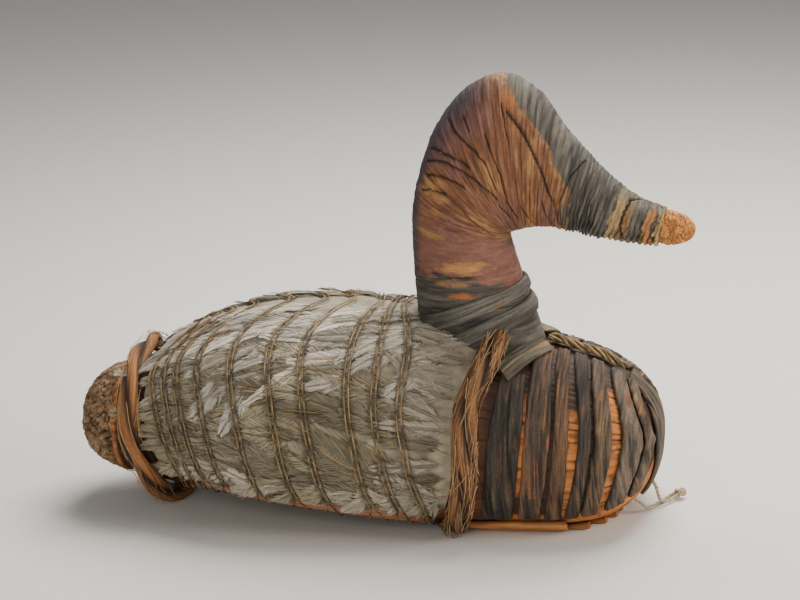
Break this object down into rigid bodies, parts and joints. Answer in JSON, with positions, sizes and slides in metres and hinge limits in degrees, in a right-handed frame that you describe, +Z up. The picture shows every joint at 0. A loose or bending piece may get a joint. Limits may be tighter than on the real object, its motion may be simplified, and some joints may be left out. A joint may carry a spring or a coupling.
{
  "type": "duck decoy",
  "caption": "Duck decoy of bundled reeds: a wrapped, bent reed head on a blunt boat-shaped body with painted breast strips, twisted rope girdles and lashed-on feathers.",
  "frame": {"origin": "on the table under the middle of the decoy, with the anchor cord left out", "axes": "+X along the body towards the bill, +Y towards the decoy's left side, +Z up"},
  "size_m": [0.3162, 0.1317, 0.2242],
  "materials": {
    "tule_stems": "dry bulrush stems, matt, ends cut rough",
    "painted_wrap": "split reed wraps under matt red-brown and black earth paint, worn through in places",
    "bare_tule": "bare dry reed, rough and matt",
    "fibre_rope": "two-ply twisted reed rope, matt",
    "feathers": "pale duck feathers, soft and dusty",
    "lashing_cord": "thin twisted plant-fibre cord, matt",
    "painted_strips": "flat split reed under worn black paint",
    "edge_stems": "flattened reed stem, satin",
    "sole_stems": "flattened reed stems, bare, satin",
    "anchor_cord": "thin two-ply cord, matt"
  },
  "bodies": {
    "root": {"tule_body": "tule_stems", "head_and_neck": "painted_wrap", "neck_band_1": "painted_wrap", "neck_band_2": "painted_wrap", "neck_band_low_right": "painted_wrap", "neck_band_low_left": "painted_wrap", "bill_tip": "bare_tule", "girdle_rope": "fibre_rope", "tail_rope": "fibre_rope", "breast_tie": "fibre_rope", "feather_coat": "feathers", "lashing_cord": "lashing_cord", "breast_strip_right_1": "painted_strips", "breast_strip_right_2": "painted_strips", "breast_strip_right_3": "painted_strips", "breast_strip_right_4": "painted_strips", "breast_strip_right_5": "painted_strips", "breast_strip_right_6": "painted_strips", "breast_strip_right_7": "painted_strips", "breast_strip_left_1": "painted_strips", "breast_strip_left_2": "painted_strips", "breast_strip_left_3": "painted_strips", "breast_strip_left_4": "painted_strips", "breast_strip_left_5": "painted_strips", "breast_strip_left_6": "painted_strips", "breast_strip_left_7": "painted_strips", "breast_strip_front": "painted_strips", "edge_stem_right": "edge_stems", "edge_stem_left": "edge_stems", "sole_stem_1": "sole_stems", "sole_stem_2": "sole_stems", "sole_stem_3": "sole_stems", "sole_stem_4": "sole_stems", "sole_stem_5": "sole_stems", "sole_stem_6": "sole_stems", "sole_stem_7": "sole_stems", "sole_stem_8": "sole_stems", "sole_stem_9": "sole_stems", "anchor_cord_upper": "anchor_cord", "anchor_cord_lower": "anchor_cord", "anchor_knot": "anchor_cord"}
  },
  "joints": []
}
